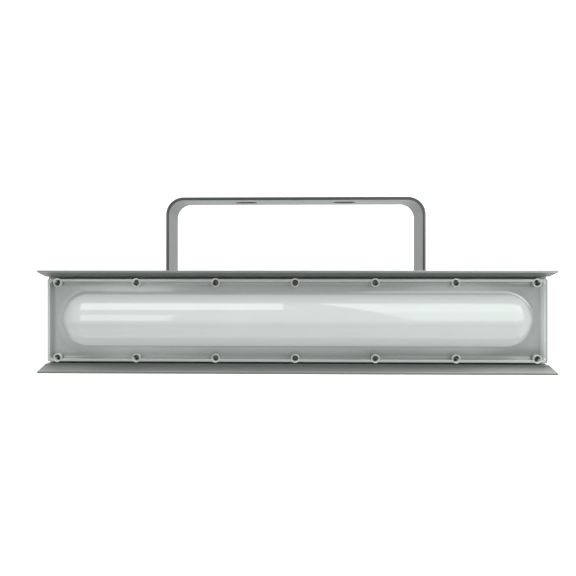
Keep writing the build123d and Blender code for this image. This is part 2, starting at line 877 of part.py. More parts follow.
def gland_seal():
    top = gland_mouth - tip_gap + gland_seal_length
    ring = Circle(gland_bore / 2 - thread_gap) - Circle(gland_cable_bore / 2)
    return gland_place() * slab_z(ring, gland_mouth - tip_gap, top)


def earth_stack():
    flat = flat_washer_thickness(earth_thread)
    return flat, flat + spring_washer_thickness(earth_thread)


def earth_place(drop):
    return Pos(entry_offset, (box_front + box_back) / 2, -box_half - drop) * Rot(180, 0, 0)


def earth_washers():
    flat, stack = earth_stack()
    wide = earth_place(0) * washer(flat_washer_ratio * earth_thread, earth_thread, flat)
    spring = earth_place(flat) * washer(spring_washer_ratio * earth_thread, earth_thread, stack - flat)
    return group([wide, spring])


def earth_screw():
    stack = earth_stack()[1]
    return earth_place(stack) * hex_bolt(earth_thread, stack + earth_grip)


def on_pivots(piece, distance):
    """One piece on each side of the lamp, facing outwards along the tilt axis."""
    right = Pos(distance, 0, 0) * Rot(0, 90, 0) * piece
    return group([right, mirror(right, about=Plane.YZ)])


def pivot_stack():
    flat = flat_washer_thickness(pivot_thread)
    return flat, flat + spring_washer_thickness(pivot_thread)


def pivot_friction_washers():
    return on_pivots(washer(friction_washer_diameter, pivot_thread, friction_washer_thickness), boss_face)


def pivot_flat_washers():
    ring = washer(flat_washer_ratio * pivot_thread, pivot_thread, pivot_stack()[0])
    return on_pivots(ring, yoke_width / 2)


def pivot_spring_washers():
    flat, stack = pivot_stack()
    ring = washer(spring_washer_ratio * pivot_thread, pivot_thread, stack - flat)
    return on_pivots(ring, yoke_width / 2 + flat)


def pivot_bolts():
    seat_at = yoke_width / 2 + pivot_stack()[1]
    return on_pivots(hex_bolt(pivot_thread, seat_at - boss_face + pivot_grip), seat_at)


lamp_nodes = {
    "housing_extrusion": housing_extrusion(),
    "end_cap_left": end_cap(-1),
    "end_cap_right": end_cap(1),
    "end_cap_gaskets": end_cap_gaskets(),
    "end_cap_screws": end_cap_screws(),
    "lens_cover": lens_cover(),
    "lens_gasket": lens_gasket(),
    "lens_screws": lens_screws(),
    "lens_spring_washers": lens_spring_washers(),
    "thermal_pads": thermal_pads(),
    "led_boards": led_boards(),
    "led_chips": led_chips(),
    "board_screws": board_screws(),
    "board_connectors": board_connectors(),
    "reflector_tray": reflector_tray(),
    "driver_box": driver_box(),
    "box_seal": box_seal(),
    "box_mount_screws": box_mount_screws(),
    "rear_cover": rear_cover(),
    "rear_cover_gasket": rear_cover_gasket(),
    "rear_cover_screws": rear_cover_screws(),
    "led_driver": led_driver(),
    "driver_screws": driver_screws(),
    "terminal_block": terminal_block(),
    "terminal_screws": terminal_screws(),
    "mains_leads": mains_leads(),
    "dc_leads": dc_leads(),
    "lead_bush": lead_bush(),
    "gland_washer": gland_washer(),
    "gland_body": gland_body(),
    "gland_locknut": gland_locknut(),
    "gland_nut": gland_nut(),
    "gland_seal": gland_seal(),
    "earth_washers": earth_washers(),
    "earth_screw": earth_screw(),
    "pivot_friction_washers": pivot_friction_washers(),
    "pivot_flat_washers": pivot_flat_washers(),
    "pivot_spring_washers": pivot_spring_washers(),
    "pivot_bolts": pivot_bolts(),
}


def hung(shape):
    """A lamp piece dropped from the tilt axis to its place under the yoke."""
    solids = [Pos(0, 0, -pivot_drop) * solid for solid in shape.solids()]
    return solids[0] if len(solids) == 1 else group(solids)


os.makedirs("parts", exist_ok=True)
export_step(yoke_bracket(), "parts/yoke_bracket.step")
for name, shape in lamp_nodes.items():
    export_step(hung(shape), f"parts/{name}.step")
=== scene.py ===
import json
from math import cos, pi, radians, sin, tan

import bmesh
import bpy
from mathutils import Matrix, Vector


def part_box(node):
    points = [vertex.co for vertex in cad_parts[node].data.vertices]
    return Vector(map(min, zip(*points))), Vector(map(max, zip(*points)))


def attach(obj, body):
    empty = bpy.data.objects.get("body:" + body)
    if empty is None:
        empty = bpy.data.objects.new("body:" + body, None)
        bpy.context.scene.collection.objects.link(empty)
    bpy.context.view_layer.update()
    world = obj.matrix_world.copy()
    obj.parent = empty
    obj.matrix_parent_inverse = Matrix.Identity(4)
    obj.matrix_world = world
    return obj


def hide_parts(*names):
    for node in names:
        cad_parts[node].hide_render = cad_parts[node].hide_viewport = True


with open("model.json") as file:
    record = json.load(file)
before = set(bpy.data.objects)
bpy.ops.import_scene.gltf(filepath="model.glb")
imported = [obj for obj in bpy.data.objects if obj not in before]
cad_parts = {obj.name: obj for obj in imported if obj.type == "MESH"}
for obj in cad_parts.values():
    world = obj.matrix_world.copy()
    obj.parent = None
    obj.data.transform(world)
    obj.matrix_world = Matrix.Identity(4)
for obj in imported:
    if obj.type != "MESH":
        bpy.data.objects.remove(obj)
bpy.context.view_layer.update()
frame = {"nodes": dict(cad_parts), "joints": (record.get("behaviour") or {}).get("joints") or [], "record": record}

MM = 0.001

# Places read from the frame, in metres
housing_low, housing_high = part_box("housing_extrusion")
lens_low, lens_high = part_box("lens_cover")
cover_screws_low, cover_screws_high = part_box("rear_cover_screws")
pivot_washers_low, pivot_washers_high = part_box("pivot_spring_washers")
pivot = Vector(frame["joints"][0]["pos_m"])

# Lens cover sizes
dome_length = 565.5 * MM
dome_width = 64.5 * MM
dome_rise = 24 * MM
foot_reach = 3.4 * MM
border_thickness = 4 * MM
rim_height = 7 * MM
rim_width = 3 * MM
gasket_thickness = 3 * MM
bore_sink = 3.5 * MM
lens_front = lens_low.y + dome_rise
rim_plane = lens_front - rim_height
seat = lens_front + border_thickness + gasket_thickness
bore_floor = lens_front + bore_sink

# Housing section sizes
wing_reach = 20.5 * MM
groove_gap = 1.7 * MM
wing_wall = 2.4 * MM
wing_splay = radians(15)
rail_width = 18 * MM
chamber_depth = 16 * MM
web_thickness = 6 * MM
spine_width = 22 * MM
fin_thickness = 2 * MM
fins_per_side = 5
extrusion_edge = 0.35 * MM
wing_tip_round = 1.15 * MM
wing_tip = rim_plane - wing_reach

# Yoke sizes
yoke_width = 341 * MM
yoke_depth = 50 * MM

# Fastener sizes, and how close two points are to be welded into one
lens_thread = 4 * MM
lens_screw_columns = 7
lens_screw_edge = 4.2 * MM
lens_screw_end = 12 * MM
lens_bore = 3.75 * MM
cover_thread = 5 * MM
cover_head_width = 8.5 * MM
cover_screw_columns = 5
pivot_thread = 10 * MM
spring_washer_share = 0.26
weld_distance = 2e-6

# Zones of the wings' and the yoke's painted light and painted highlights, each from where it begins to where it is
# full
tip_lit_face = (rim_plane - 3 * MM, wing_tip + 2 * MM)
end_lit_face = (rim_plane, rim_plane - 10 * MM)
wing_nose = (wing_tip + 2.2 * MM, wing_tip + 1.2 * MM)
corner_back = (wing_tip + 2.6 * MM, wing_tip + 2.0 * MM)
corner_front = (wing_tip + 0.6 * MM, wing_tip + 1.2 * MM)
groove_half = (lens_high.z - lens_low.z) / 2 + groove_gap
groove_front = (rim_plane - 1 * MM, rim_plane + 1.5 * MM)
groove_back = (seat + 1 * MM, seat)
groove_side = (groove_half + 1 * MM, groove_half + 0.5 * MM)
lower_wing = (10 * MM, -10 * MM)
wing_rightwards = (0.0, 280 * MM)
wing_right_end = (170 * MM, 250 * MM)
wing_left_end = (-200 * MM, -260 * MM)
yoke_front_edge = (yoke_depth / 2 - 0.7 * MM, yoke_depth / 2 - 0.2 * MM)
yoke_leg_edge = (yoke_width / 2 - 2.4 * MM, yoke_width / 2 - 1.2 * MM)

# Zones of the milky cover, measured outwards from the dome's outline
dome_edge = (-0.5 * MM, 0.5 * MM)
dome_spill = (0.0, 9 * MM)
foot_fade = (foot_reach, 2 * foot_reach)
foot_inner = (-0.4 * MM, 0.3 * MM)
foot_outer = (2.9 * MM, 2.1 * MM)
crisp_edge = (-2.2 * MM, 0.8 * MM)
soft_edge = (-4.5 * MM, 2.5 * MM)

# Zones of the milky cover, measured up from its middle
rail_shadow = (38 * MM, 45 * MM)
between_rails = (46.4 * MM, 45 * MM)
lower_border = (-28 * MM, -38 * MM)
upper_foot = (12 * MM, 26 * MM)
upper_half = (-8 * MM, 8 * MM)
below_middle = (3 * MM, -6 * MM)
lower_glow = (-13 * MM, -22 * MM)
upper_glow = (16 * MM, 27 * MM)

# Zones of the milky cover, measured along its length, forwards for the rim and outwards for the bores
rim_inner = lens_high.x - rim_width
cove_start = rim_inner - 4.5 * MM
outer_stretch = (100 * MM, 200 * MM)
cover_end = (210 * MM, 270 * MM)
cover_right_end = (240 * MM, 280 * MM)
cover_rightwards = (0.0, 200 * MM)
cover_leftwards = (200 * MM, -280 * MM)
foot_rightwards = (40 * MM, 140 * MM)
left_cove = (cove_start, cove_start + 2 * MM)
right_cove = (cove_start + 0.5 * MM, cove_start + 4 * MM)
rim_foot = (rim_inner + 0.3 * MM, rim_inner + 0.05 * MM)
right_rim_face = (rim_inner, rim_inner + 0.4 * MM)
chamber_end = (8 * MM, 32 * MM)
rim_rise = (1.5 * MM, rim_height)
bore_edge = (lens_bore + 0.05 * MM, lens_bore + 0.3 * MM)


class Wire:
    """A node's output that can stand in a sum: each operator adds one Math node."""

    def __init__(self, graph, socket):
        self.graph = graph
        self.socket = socket

    def __add__(self, other):
        return self.graph.math("ADD", self, other)

    def __sub__(self, other):
        return self.graph.math("SUBTRACT", self, other)

    def __rsub__(self, other):
        return self.graph.math("SUBTRACT", other, self)

    def __mul__(self, other):
        return self.graph.math("MULTIPLY", self, other)

    def __truediv__(self, other):
        return self.graph.math("DIVIDE", self, other)

    def __neg__(self):
        return self.graph.math("MULTIPLY", self, -1.0)

    __radd__ = __add__
    __rmul__ = __mul__


class Graph:
    """A node tree under construction, for a finish or for geometry."""

    def __init__(self, tree):
        self.tree = tree
        tree.nodes.clear()

    def find(self, sockets, key):
        if isinstance(key, int):
            return sockets[key]
        matches = [s for s in sockets if s.identifier == key] or [s for s in sockets if s.name == key]
        return matches[0]

    def node(self, kind, settings=None, inputs=None, output=0):
        """Add a node: its settings first, then the values or links of its sockets."""
        made = self.tree.nodes.new(kind)
        for name, value in (settings or {}).items():
            setattr(made, name, value)
        for key, value in (inputs or {}).items():
            socket = self.find(made.inputs, key)
            for one in value if isinstance(value, list) else [value]:
                if isinstance(one, Wire):
                    self.tree.links.new(one.socket, socket)
                else:
                    socket.default_value = one
        return Wire(self, self.find(made.outputs, output)) if made.outputs else None

    def math(self, operation, *values):
        return self.node("ShaderNodeMath", {"operation": operation}, dict(enumerate(values)))

    def length(self, x, y):
        return self.math("SQRT", x * x + y * y)

    def vector(self, x=0.0, y=0.0, z=0.0):
        return self.node("ShaderNodeCombineXYZ", inputs={"X": x, "Y": y, "Z": z})


class Finish(Graph):
    """A material whose pattern is fixed to the piece, on Object coordinates in metres."""

    def __init__(self, name):
        self.material = bpy.data.materials.new(name)
        self.material.use_nodes = True
        super().__init__(self.material.node_tree)
        self.place = self.node("ShaderNodeTexCoord", output="Object")

    def stretched(self, x, y, z):
        inputs = {"Vector": self.place, "Scale": (x, y, z)}
        return self.node("ShaderNodeMapping", inputs=inputs, output="Vector")

    def noise(self, scale, detail=2.0, where=None):
        """Cloudy pattern, from 0 to 1, with so many features to the metre."""
        inputs = {"Vector": where or self.place, "Scale": scale, "Detail": detail}
        return self.node("ShaderNodeTexNoise", inputs=inputs, output="Fac")

    def cells(self, scale):
        """A random value, from 0 to 1, for each small cell."""
        inputs = {"Vector": self.place, "Scale": scale}
        cell = self.node("ShaderNodeTexVoronoi", inputs=inputs, output="Color")
        return self.node("ShaderNodeSeparateColor", inputs={"Color": cell}, output="Red")

    def parts(self):
        """The place's three numbers."""
        split = self.node("ShaderNodeSeparateXYZ", inputs={"Vector": self.place})
        return [Wire(self, socket) for socket in split.socket.node.outputs]

    def ramp(self, value, low, high):
        """A smooth rise from 0 at low to 1 at high."""
        return self.node("ShaderNodeMapRange", {"interpolation_type": "SMOOTHSTEP"},
                         {"Value": value, "From Min": low, "From Max": high}, "Result")

    def mix(self, factor, first, second):
        inputs = {"Factor_Float": factor, "A_Color": first, "B_Color": second}
        return self.node("ShaderNodeMix", {"data_type": "RGBA"}, inputs, "Result_Color")

    def relief(self, height, depth):
        """A bumped normal whose hills are so many metres high."""
        return self.node("ShaderNodeBump", inputs={"Height": height, "Strength": 1.0, "Distance": depth})

    def done(self, **sockets):
        inputs = {name.replace("_", " "): value for name, value in sockets.items()}
        shader = self.node("ShaderNodeBsdfPrincipled", inputs=inputs)
        self.node("ShaderNodeOutputMaterial", inputs={"Surface": shader})
        return self.material


def rgb(red, green, blue):
    return (red, green, blue, 1.0)


# Pale tone that the paint is mixed towards for painted light and painted highlights
painted_light_tone = rgb(0.34, 0.348, 0.335)


def wing_painted_light(coat):
    """Painted light on the wings: the lower face lighter towards its tip and towards the right, its ends lighter,
    painted highlights on the upper nose and the rounded corners, and the shaded groove painted lighter.
    """
    x, y, z = coat.parts()
    height = z - pivot.z
    lower = coat.ramp(height, *lower_wing)
    nose = coat.ramp(y, *wing_nose)
    to_right = 1 + 1.3 * coat.ramp(x, *wing_rightwards)
    # Painted light: the lower face lighter away from its shaded root and towards the right; a painted highlight on
    # the upper nose
    face = coat.ramp(y, *tip_lit_face) * to_right * (lower * (1 - 0.5 * nose) + 1.7 * (1 - lower) * nose)
    # Painted light on the lower wing's ends, more at the right than at the left
    ends = coat.ramp(x, *wing_right_end) + 0.5 * coat.ramp(x, *wing_left_end)
    lower_ends = lower * ends * coat.ramp(y, *end_lit_face) * (1 - nose)
    # Painted highlight on the rounded corners of the wing tips
    corner = coat.ramp(y, *corner_back) * coat.ramp(y, *corner_front) * (0.5 + 0.5 * lower)
    # Painted light in the groove between rim and wing, which lies in deep shade
    groove = (coat.ramp(y, *groove_front) * coat.ramp(y, *groove_back)
              * coat.ramp(coat.math("ABSOLUTE", height), *groove_side))
    return 0.19 * face + 0.32 * lower_ends + 0.55 * corner + 0.9 * groove


def yoke_painted_light(coat):
    """Painted light on the yoke: its side and under faces painted paler than its front and back, and a painted
    highlight on the outer corner of its legs.
    """
    x, y, _ = coat.parts()
    on_edge = coat.ramp(coat.math("ABSOLUTE", y), *yoke_front_edge)
    outer = coat.ramp(coat.math("ABSOLUTE", x), *yoke_leg_edge)
    # Paler side and under faces as painted light; the legs' outer corners as a painted highlight
    return 0.045 * (1 - on_edge) + 0.33 * outer * on_edge


def powder_coat(name, dark, light, peel, sheen, index, painted_light):
    """Satin metallic paint: drifts of tone, fine flakes, an orange-peel skin, and places painted paler as painted
    light and painted highlights.
    """
    coat = Finish(name)
    drift = coat.noise(7.0, 3.0)
    grain = coat.noise(620.0, 3.0)
    flake = coat.cells(3200.0)
    tone = drift * 0.45 + grain * 0.25 + flake * 0.30
    # Painted light and painted highlights, where the given mask lays them
    lightened = painted_light(coat) * (0.8 + 0.4 * drift)
    return coat.done(
        Base_Color=coat.mix(lightened, coat.mix(tone, dark, light), painted_light_tone),
        Roughness=sheen + 0.10 * grain + 0.06 * drift,
        IOR=index,
        Normal=coat.relief(grain, peel))


def lens_screw_grid():
    """Step along the two rows of lens screws, and each row's distance from the middle."""
    step = 2 * (lens_high.x - lens_screw_end) / (lens_screw_columns - 1)
    return step, (lens_high.z - lens_low.z) / 2 - lens_screw_edge


class MilkyResin(Finish):
    """Milk-white cover, greyer over metal; a painted glow stands for the light its white chamber gives back, and
    painted light and shade lie on its border and rim.
    """

    def __init__(self, name):
        super().__init__(name)
        self.x, y, z = self.parts()
        self.height = z - pivot.z
        self.along = self.math("ABSOLUTE", self.x)
        self.off_middle = self.math("ABSOLUTE", self.height)
        self.past_end = self.math("MAXIMUM", self.along - (dome_length - dome_width) / 2, 0.0)
        self.outside = self.length(self.past_end, self.height) - dome_width / 2
        self.past_foot = self.ramp(self.outside, *foot_fade)
        self.on_border = self.ramp(self.outside, *dome_edge)
        self.on_rim = self.ramp(lens_front - y, *rim_rise) * self.past_foot
        # The bores and the rim's right inner wall carry painted light
        self.in_bore = 1 - self.ramp(self.from_screw(), *bore_edge)
        self.right_wall = (self.ramp(self.x, *right_cove) * self.ramp(self.x, *rim_foot)
                           * self.ramp(self.off_middle, *between_rails))
        self.cloud = self.noise(14.0, 3.0)
        self.speck = self.noise(900.0, 2.0)

    def from_screw(self):
        """Distance from the axis of the nearest lens screw."""
        step, row = lens_screw_grid()
        to_column = self.x - step * self.math("ROUND", self.x / step)
        return self.length(to_column, self.off_middle - row)

    def dome_shade(self):
        milk = 0.8 * self.cloud + 0.2 * self.speck
        return self.mix(milk, rgb(0.25, 0.259, 0.255), rgb(0.29, 0.30, 0.295))

    def border_shade(self):
        """The flat border: grey with random grain, paler towards the outer thirds and darker at the very ends;
        painted light beside the dome, towards the left, in the bores and by the right wall, a painted highlight
        along the upper right of the dome's foot, and painted shade along the rails, in the cove at the left end
        and at the lower right.
        """
        outwards = self.ramp(self.along, *outer_stretch)
        at_end = self.ramp(self.along, *cover_end)
        grain = 0.20 + 0.22 * self.speck + 0.12 * self.cloud
        # Painted light spilt from the dome onto the border, less at the right end
        spill = (1 - self.ramp(self.outside, *dome_spill)) * (1 - 1.3 * self.ramp(self.x, *cover_right_end))
        # Painted light, rising towards the left
        to_left = self.ramp(self.x, *cover_leftwards)
        stretch = 0.20 * outwards * (1 - at_end) - 0.10 * at_end + 0.15 * to_left
        rails = self.ramp(self.off_middle, *rail_shadow) * (1 + 0.4 * outwards)
        lower_right = self.ramp(self.x, *cover_rightwards) * self.ramp(self.height, *lower_border)
        # A painted highlight along the upper right of the dome's foot
        foot = (self.ramp(self.outside, *foot_outer) * self.ramp(self.outside, *foot_inner)
                * self.ramp(self.x, *foot_rightwards) * self.ramp(self.height, *upper_foot))
        # Painted shade along the rails, in the cove at the left end and at the lower right
        shadow = 0.30 * rails + 0.25 * self.ramp(-self.x, *left_cove) + 0.22 * lower_right
        # Painted light beside the dome, by the right wall and in the bores, and the painted highlight on the foot
        painted_bright = 0.25 * spill + 0.1 * self.right_wall + 0.9 * self.in_bore + 0.75 * foot
        return self.mix(grain + stretch + painted_bright - shadow, rgb(0.24, 0.249, 0.244), rgb(0.60, 0.62, 0.61))

    def rim_shade(self):
        """The raised rim, with random grain: its face at the right end painted darker as painted shade, and its
        inner wall there painted paler as painted light.
        """
        on_right = self.ramp(self.x, *right_rim_face)
        face = self.mix(on_right, rgb(0.42, 0.435, 0.427), rgb(0.22, 0.228, 0.224))
        return self.mix(0.3 * self.speck + 0.8 * self.right_wall, face, rgb(0.84, 0.86, 0.85))

    def glow(self):
        """Painted glow, for the cover is no lamp: it stands for light from the chamber behind the dome, dimmer
        below the middle, less so towards the bottom, brighter towards the top and fading at the ends, with painted
        light in the bores and on the right wall.
        """
        crisp = self.ramp(self.outside, *crisp_edge)
        soft = self.ramp(self.outside, *soft_edge)
        over_chamber = 1 - crisp - self.ramp(self.height, *upper_half) * (soft - crisp)
        bands = (1 - 0.33 * self.ramp(self.height, *below_middle)
                 + 0.17 * self.ramp(self.height, *lower_glow) + 0.28 * self.ramp(self.height, *upper_glow))
        chamber = over_chamber * bands * (1 - 0.55 * self.ramp(self.past_end, *chamber_end))
        lit = chamber + 0.45 * self.in_bore + 0.55 * self.right_wall
        return self.mix(lit, rgb(0.0, 0.0, 0.0), rgb(0.31, 0.33, 0.322))


def milky_moulding():
    resin = MilkyResin("milky_resin")
    flat = resin.mix(resin.on_border, resin.dome_shade(), resin.border_shade())
    ripple = resin.noise(26.0, 1.0)
    return resin.done(
        Base_Color=resin.mix(resin.on_rim, flat, resin.rim_shade()),
        Roughness=0.035 + 0.03 * resin.cloud + 0.09 * resin.past_foot,
        IOR=1.52,
        # Painted glow: the cover is no lamp
        Emission_Color=resin.glow(),
        Emission_Strength=1.0,
        Normal=resin.relief(ripple, 0.15 * MM))


def turned_steel(name, dark, light, shine):
    """Stainless fasteners: fine scratches and a little stain between them."""
    steel = Finish(name)
    scratch = steel.noise(1.0, 4.0, steel.stretched(4200.0, 900.0, 4200.0))
    stain = steel.noise(180.0, 3.0)
    return steel.done(
        Base_Color=steel.mix(0.6 * scratch + 0.4 * stain, dark, light),
        Metallic=1.0,
        Roughness=shine + 0.14 * scratch + 0.10 * stain,
        Normal=steel.relief(scratch, 0.02 * MM))


def moulded(name, dark, light, shine, scale, depth):
    """Plain moulded or pressed material with a fine grain."""
    stuff = Finish(name)
    grain = stuff.noise(scale, 3.0)
    drift = stuff.noise(scale / 12, 2.0)
    return stuff.done(
        Base_Color=stuff.mix(0.5 * grain + 0.5 * drift, dark, light),
        Roughness=shine + 0.15 * grain,
        Normal=stuff.relief(grain, depth))


finishes = {
    "housing_paint": powder_coat(
        "housing_coat", rgb(0.070, 0.073, 0.069), rgb(0.108, 0.112, 0.106),
        peel=0.03 * MM, sheen=0.38, index=1.42, painted_light=wing_painted_light),
    "yoke_paint": powder_coat(
        "yoke_coat", rgb(0.036, 0.039, 0.036), rgb(0.054, 0.058, 0.054),
        peel=0.03 * MM, sheen=0.28, index=1.5, painted_light=yoke_painted_light),
    "milky_lens": milky_moulding(),
    "stainless": turned_steel(
        "turned_stainless", rgb(0.42, 0.42, 0.41), rgb(0.66, 0.66, 0.64), shine=0.28),
    "black_steel": turned_steel(
        "black_oxide", rgb(0.10, 0.10, 0.102), rgb(0.26, 0.26, 0.265), shine=0.24),
    "plated_brass": turned_steel(
        "nickel_plate", rgb(0.52, 0.50, 0.44), rgb(0.72, 0.70, 0.64), shine=0.22),
    "seal_rubber": moulded(
        "black_rubber", rgb(0.018, 0.018, 0.018), rgb(0.045, 0.045, 0.043),
        shine=0.62, scale=800, depth=0.05 * MM),
    "board": moulded(
        "solder_mask", rgb(0.78, 0.79, 0.77), rgb(0.86, 0.87, 0.85),
        shine=0.32, scale=300, depth=0.01 * MM),
    "chip": moulded(
        "phosphor_gel", rgb(0.78, 0.56, 0.10), rgb(0.90, 0.72, 0.22),
        shine=0.25, scale=900, depth=0.02 * MM),
    "pad": moulded(
        "thermal_putty", rgb(0.30, 0.33, 0.38), rgb(0.42, 0.44, 0.48),
        shine=0.65, scale=900, depth=0.05 * MM),
    "reflector_white": moulded(
        "matt_white", rgb(0.80, 0.80, 0.79), rgb(0.88, 0.88, 0.87),
        shine=0.45, scale=700, depth=0.02 * MM),
    "driver_case": moulded(
        "potted_case", rgb(0.44, 0.45, 0.46), rgb(0.56, 0.57, 0.58),
        shine=0.40, scale=600, depth=0.04 * MM),
    "terminal_plastic": moulded(
        "ivory_nylon", rgb(0.66, 0.64, 0.57), rgb(0.76, 0.74, 0.67),
        shine=0.36, scale=700, depth=0.02 * MM),
    "lead_sleeve": moulded(
        "wire_sleeve", rgb(0.012, 0.012, 0.014), rgb(0.03, 0.03, 0.033),
        shine=0.35, scale=1200, depth=0.02 * MM),
    "bush_plastic": moulded(
        "black_nylon", rgb(0.010, 0.010, 0.010), rgb(0.03, 0.03, 0.03),
        shine=0.45, scale=900, depth=0.03 * MM),
    "fibre": moulded(
        "pressed_fibre", rgb(0.05, 0.035, 0.022), rgb(0.11, 0.08, 0.055),
        shine=0.70, scale=1500, depth=0.06 * MM),
}
slot_of = {s["node"]: s["material_slot"] for s in frame["record"]["subparts"]}


def coat_frame():
    """Give every node of the frame its finish."""
    for name, obj in frame["nodes"].items():
        for slot in obj.material_slots:
            slot.material = finishes[slot_of[name]]


def geometry_tree(name, sockets):
    """An empty geometry tree and its named inputs."""
    tree = bpy.data.node_groups.new(name, "GeometryNodeTree")
    for label, kind in sockets.items():
        tree.interface.new_socket(label, in_out="INPUT", socket_type="NodeSocket" + kind)
    tree.interface.new_socket("Mesh", in_out="OUTPUT", socket_type="NodeSocketGeometry")
    graph = Graph(tree)
    entry = tree.nodes.new("NodeGroupInput")
    return graph, {label: Wire(graph, entry.outputs[label]) for label in sockets}


def close_tree(graph, shape, finish):
    real = graph.node("GeometryNodeRealizeInstances", inputs={"Geometry": shape})
    coated = graph.node("GeometryNodeSetMaterial", inputs={"Geometry": real, "Material": finish})
    graph.node("NodeGroupOutput", inputs={"Mesh": coated})
    return graph.tree


def smoothed(mesh, degrees=32):
    """Merge doubles, turn faces outwards and shade round all but the sharper edges."""
    work = bmesh.new()
    work.from_mesh(mesh)
    bmesh.ops.remove_doubles(work, verts=work.verts, dist=weld_distance)
    bmesh.ops.recalc_face_normals(work, faces=work.faces)
    for face in work.faces:
        face.smooth = True
    work.to_mesh(mesh)
    work.free()
    mesh.set_sharp_from_angle(angle=radians(degrees))
    return mesh


def grown(name, base, tree, **values):
    """Run a geometry tree on a base shape and keep what it makes as a plain mesh."""
    source = bpy.data.objects.new(name + "_base", base)
    bpy.context.scene.collection.objects.link(source)
    modifier = source.modifiers.new("grow", "NODES")
    modifier.node_group = tree
    named = {key.replace("_", " ").lower(): value for key, value in values.items()}
    for item in tree.interface.items_tree:
        if item.in_out == "INPUT" and item.name.lower() in named:
            modifier[item.identifier] = named[item.name.lower()]
    evaluated = source.evaluated_get(bpy.context.evaluated_depsgraph_get())
    mesh = bpy.data.meshes.new_from_object(evaluated)
    source.modifiers.remove(modifier)
    bpy.data.objects.remove(source)
    mesh.name = name
    piece = bpy.data.objects.new(name, smoothed(mesh))
    bpy.context.scene.collection.objects.link(piece)
    flats = piece.modifiers.new("flat_faces", "WEIGHTED_NORMAL")
    flats.weight = 100
    flats.keep_sharp = True
    return piece


def evened(name, node):
    """A copy of a node's mesh with its loose triangles joined.

    Its corners keep the solid's own normals, apart from those that stray from their face, as at a pole.
    """
    stray = cos(pi / 6)
    source = frame["nodes"][node].data
    work = bmesh.new()
    work.from_mesh(source)
    origin = work.faces.layers.int.new("origin")
    for face in work.faces:
        face[origin] = face.index
    bmesh.ops.remove_doubles(work, verts=work.verts, dist=weld_distance)
    mesh = bpy.data.meshes.new(name)
    work.to_mesh(mesh)
    work.free()
    normals = []
    for face, tag in zip(mesh.polygons, mesh.attributes["origin"].data):
        for corner in source.polygons[tag.value].loop_indices:
            normal = source.corner_normals[corner].vector
            kept = normal if normal.dot(face.normal) > stray else face.normal
            normals.append(kept.copy())
    mesh.normals_split_custom_set(normals)
    mesh.attributes.remove(mesh.attributes["origin"])
    mesh.materials.append(finishes[slot_of[node]])
    piece = bpy.data.objects.new(name, mesh)
    bpy.context.scene.collection.objects.link(piece)
    return piece


def stands_for(piece, body, node):
    """Let a piece ride on a body in place of a node, which is hidden."""
    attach(piece, body)
    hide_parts(node)


def seats(places):
    """A mesh of loose points, one for each fastener."""
    mesh = bpy.data.meshes.new("seats")
    mesh.from_pydata(places, [], [])
    return mesh


def placed(graph, given, fastener):
    """A fastener on each seat, turned to face outwards and then by chance about its axis."""
    turn = graph.node("FunctionNodeRandomValue", {"data_type": "FLOAT"},
                      {"Min_001": 0.0, "Max_001": 2 * pi, "Seed": given["Seed"]}, "Value_001")
    copies = graph.node("GeometryNodeInstanceOnPoints", inputs={
        "Points": given["Seats"], "Instance": fastener, "Rotation": given["Facing"]})
    return graph.node("GeometryNodeRotateInstances", inputs={
        "Instances": copies, "Rotation": graph.vector(0.0, 0.0, turn), "Local Space": True})


